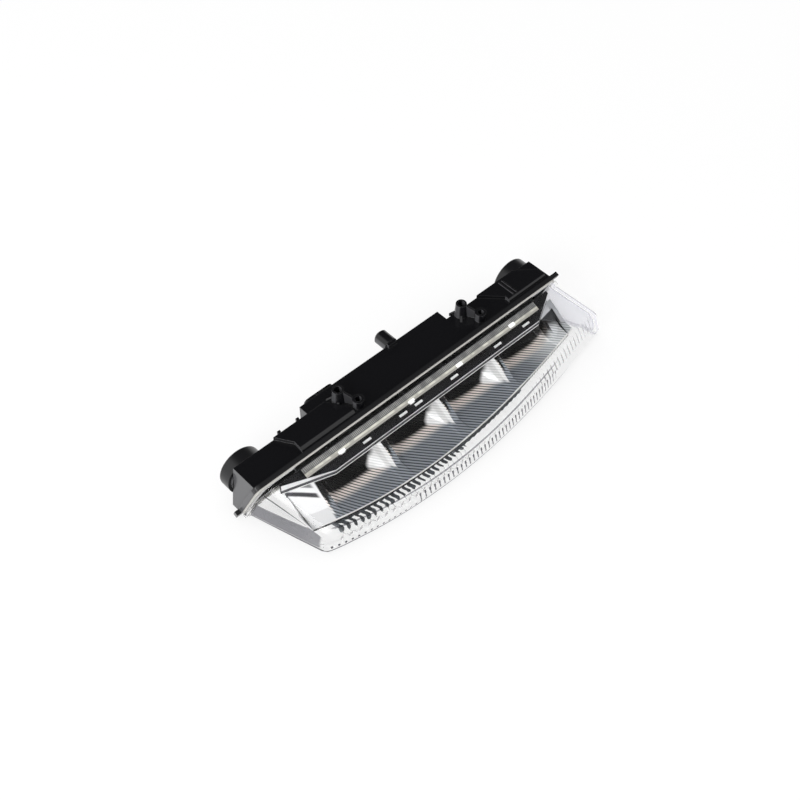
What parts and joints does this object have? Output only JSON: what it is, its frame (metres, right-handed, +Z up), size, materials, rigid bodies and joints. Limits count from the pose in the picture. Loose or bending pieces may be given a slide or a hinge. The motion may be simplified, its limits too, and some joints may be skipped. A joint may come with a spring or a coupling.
{
  "type": "daytime running light",
  "caption": "Slim bowed lamp for a car's bumper: black moulded housing, clear shell with a fluted nose, reflector bowls behind it and a sealed light board.",
  "frame": {"origin": "on the housing's deck, midway between the two screw bosses", "axes": "+X along the lamp towards its right end as seen from behind and above, -Y forward through the lens, +Z up out of the deck along the screw bosses"},
  "size_m": [0.265, 0.095, 0.0435],
  "materials": {
    "housing_black": "glossy near-black moulded plastic",
    "clear_lens": "clear moulded plastic, polished",
    "adhesive": "cured adhesive bead",
    "reflector_mirror": "vacuum-metallised plastic",
    "cover_dark": "dark smooth plastic with a bright front edge",
    "aluminium": "plain aluminium",
    "white_board": "white board coating",
    "light_source": "yellowish light source",
    "screw_steel": "plated steel",
    "flat_lead": "flat lead",
    "green_board": "green board coating",
    "component_dark": "dark moulded components",
    "contact_metal": "plated contact metal",
    "cap_black": "black moulded plastic",
    "membrane": "white breathing membrane",
    "seal_rubber": "sealing rubber"
  },
  "bodies": {
    "root": {"housing": "housing_black", "lens": "clear_lens", "lens_bead": "adhesive", "reflector": "reflector_mirror", "board_cover": "cover_dark", "heat_sink": "aluminium", "led_board": "white_board", "led_1": "light_source", "led_2": "light_source", "led_3": "light_source", "led_4": "light_source", "plate_screws": "screw_steel", "board_screws": "screw_steel", "board_link": "flat_lead", "driver_board": "green_board", "driver_coil": "component_dark", "driver_capacitor": "aluminium", "driver_chips": "component_dark", "driver_screws": "screw_steel", "connector_contacts": "contact_metal", "vent_cap": "cap_black", "vent_membrane": "membrane", "rear_cap_left": "cap_black", "rear_cap_right": "cap_black", "cap_seal_left": "seal_rubber", "cap_seal_right": "seal_rubber"}
  },
  "joints": []
}
